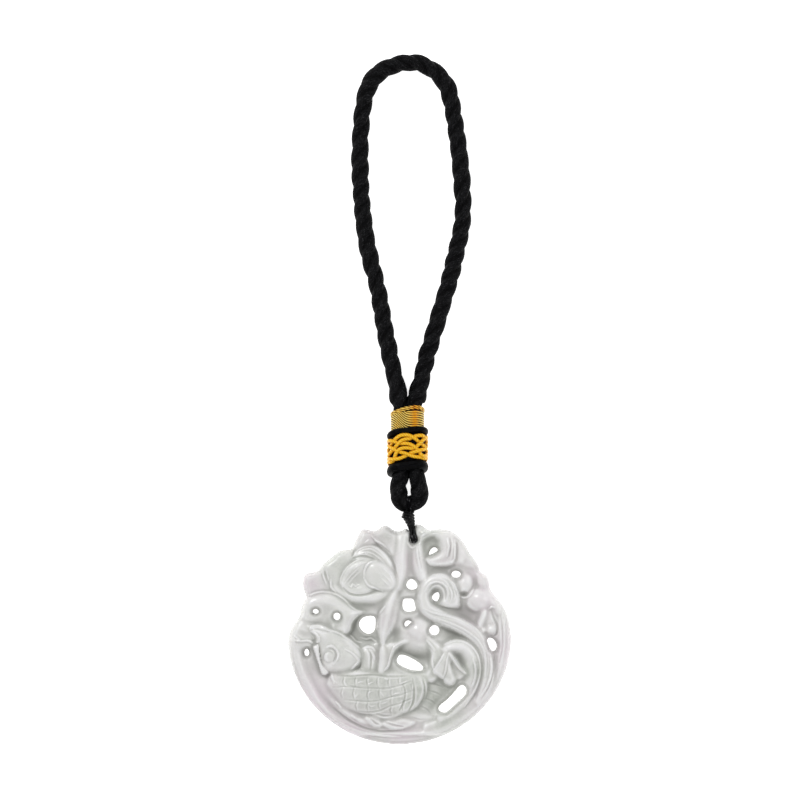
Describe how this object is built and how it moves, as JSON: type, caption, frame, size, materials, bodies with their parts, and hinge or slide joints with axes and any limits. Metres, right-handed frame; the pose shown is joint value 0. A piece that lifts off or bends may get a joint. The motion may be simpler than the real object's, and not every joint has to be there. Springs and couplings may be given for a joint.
{
  "type": "carved jadeite disc pendant on a black cord loop",
  "caption": "Round pierced pendant of pale jade carved with a carp and a lotus, tied below a black twisted cord loop with a bound and woven collar.",
  "frame": {"origin": "middle of the disc's flat back, which lies on the surface", "axes": "+Z out of the carved face, +Y along the cord loop away from the disc, +X to the right seen from the front"},
  "size_m": [0.0582, 0.1798, 0.008],
  "materials": {
    "jade": "polished pale green and lavender jadeite",
    "black_cord": "twisted cord",
    "gold_thread": "wound shiny thread",
    "black_collar": "tightly bound sleeve with a soft shine",
    "yellow_cord": "shiny cord",
    "waxed_thread": "waxed"
  },
  "bodies": {
    "root": {"jade_disc": "jade", "hanging_loop": "black_cord", "gold_wrap": "gold_thread", "collar": "black_collar", "gold_knot": "yellow_cord", "lower_loop": "black_cord", "tie_thread": "waxed_thread"}
  },
  "joints": []
}
